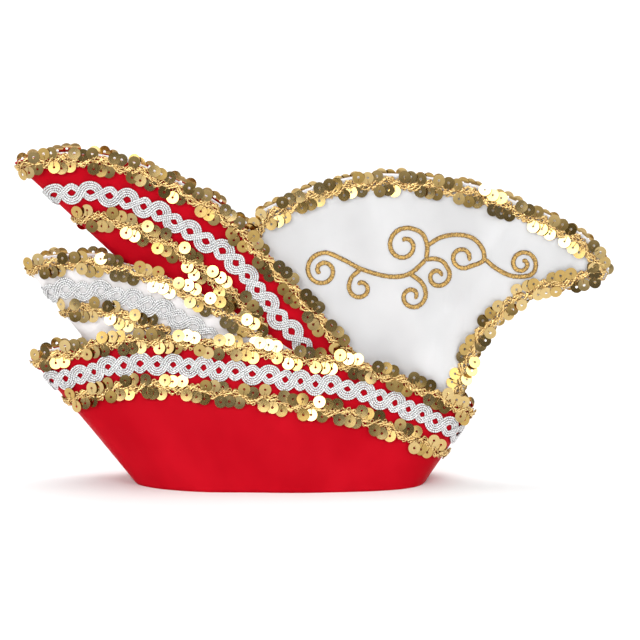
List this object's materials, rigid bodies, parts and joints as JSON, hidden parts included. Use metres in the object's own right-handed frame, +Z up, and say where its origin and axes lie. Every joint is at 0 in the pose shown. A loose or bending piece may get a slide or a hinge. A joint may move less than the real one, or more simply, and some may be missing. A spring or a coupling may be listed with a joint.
{
  "type": "mini hat",
  "caption": "Small boat-shaped carnival cap with folded wings at the prow, a tall curved crest, sequin braid, silver gimp and gold scrollwork, open below for the head.",
  "frame": {"origin": "middle of the floor under the hat, which stands on the rim of its body", "axes": "+X from the prow to the stern, +Y from the near side to the far side, +Z up"},
  "size_m": [0.2495, 0.05, 0.1385],
  "materials": {
    "red_satin": "red satin cloth with a soft sheen",
    "white_satin": "white satin cloth with a soft sheen",
    "gold_braid": "metallised gold sequins on a gold chain",
    "silver_gimp": "silver metallic cord",
    "gold_thread": "gold metallic thread in satin stitch"
  },
  "bodies": {
    "root": {"body": "red_satin", "wing_middle": "white_satin", "wing_top": "red_satin", "crest": "white_satin", "braid_body_upper": "gold_braid", "braid_body_lower": "gold_braid", "braid_middle_upper": "gold_braid", "braid_middle_lower": "gold_braid", "braid_top_upper": "gold_braid", "braid_top_lower": "gold_braid", "braid_crest_near": "gold_braid", "braid_crest_far": "gold_braid", "gimp_body": "silver_gimp", "gimp_middle": "silver_gimp", "gimp_top": "silver_gimp", "scroll_near": "gold_thread", "scroll_far": "gold_thread"}
  },
  "joints": []
}
